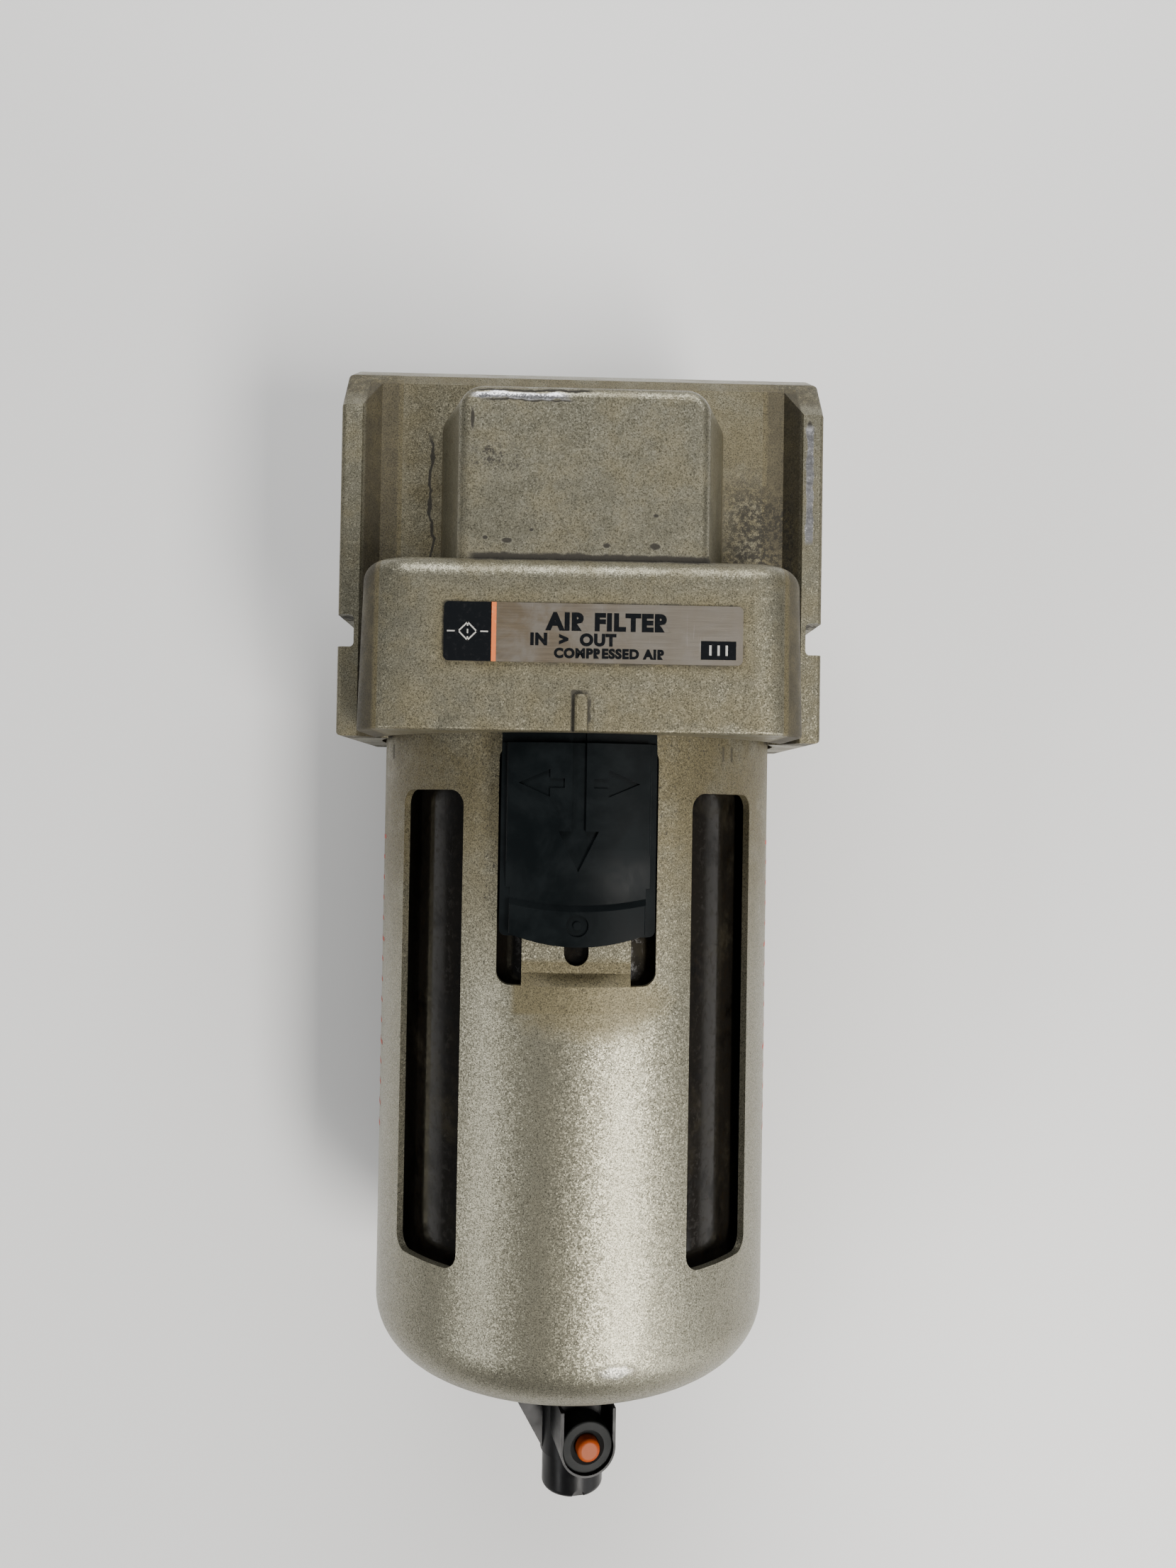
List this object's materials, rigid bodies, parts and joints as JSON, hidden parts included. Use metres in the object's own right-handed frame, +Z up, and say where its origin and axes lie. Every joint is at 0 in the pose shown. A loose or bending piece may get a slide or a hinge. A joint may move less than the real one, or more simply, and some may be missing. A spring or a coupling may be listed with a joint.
{
  "type": "compressed air filter",
  "caption": "Compressed air filter: ported die-cast head over a guarded bowl held by a bayonet, with a sliding lock button and a push-to-drain valve.",
  "frame": {"origin": "where the axis through both ports crosses the bowl axis, inside the head", "axes": "+Z up along the bowl axis, +X out of the outlet port, -Y towards the front with the name plate"},
  "size_m": [0.053, 0.0538, 0.1285],
  "materials": {
    "head_paint": "champagne metallic paint on die-cast aluminium, fine sparkle, grimy",
    "guard_paint": "champagne metallic paint on pressed steel, worn",
    "label_film": "brushed foil label with black and orange print",
    "lock_black": "moulded near-black plastic, satin",
    "drain_black": "moulded black plastic",
    "drain_grey": "moulded grey plastic",
    "drain_orange": "orange plastic, slightly faded tip",
    "smoked_bowl": "polycarbonate stained brown",
    "inner_plastic": "moulded black plastic",
    "filter_media": "bonded fibre, dirty",
    "rubber_seal": "nitrile rubber",
    "spring_steel": "stainless spring wire"
  },
  "bodies": {
    "head": {"body": "head_paint", "name_plate": "label_film", "deflector": "inner_plastic", "element_top_gasket": "rubber_seal", "filter_element": "filter_media", "element_bottom_gasket": "rubber_seal", "baffle": "inner_plastic"},
    "bowl_unit": {"bowl_o_ring": "rubber_seal", "bowl": "smoked_bowl", "bowl_guard": "guard_paint", "lock_spring": "spring_steel", "drain_body": "drain_black", "drain_o_ring": "rubber_seal", "drain_nut": "inner_plastic", "drain_collar": "drain_grey", "drain_spring": "spring_steel"},
    "lock": {"lock_button": "lock_black"},
    "drain_plunger": {"drain_button": "drain_orange", "drain_stem": "inner_plastic", "stem_o_ring": "rubber_seal", "drain_seat_seal": "rubber_seal"}
  },
  "joints": [
    {"name": "bowl_turn", "type": "hinge", "parent": "head", "child": "bowl_unit", "pos_m": [0, 0, -0.0249], "axis": [0, 0, 1], "range_deg": [-45, 45]},
    {"name": "lock_slide", "type": "slide", "parent": "bowl_unit", "child": "lock", "axis": [0, 0, -1], "range_m": [0, 0.0042], "stiffness_N_per_m": 300, "springref_m": -0.002, "deforming": ["lock_spring"]},
    {"name": "drain_push", "type": "slide", "parent": "bowl_unit", "child": "drain_plunger", "axis": [-0.2079, 0.9781, 0], "range_m": [0, 0.0009], "stiffness_N_per_m": 1500, "springref_m": -0.001, "deforming": ["drain_spring"]}
  ]
}
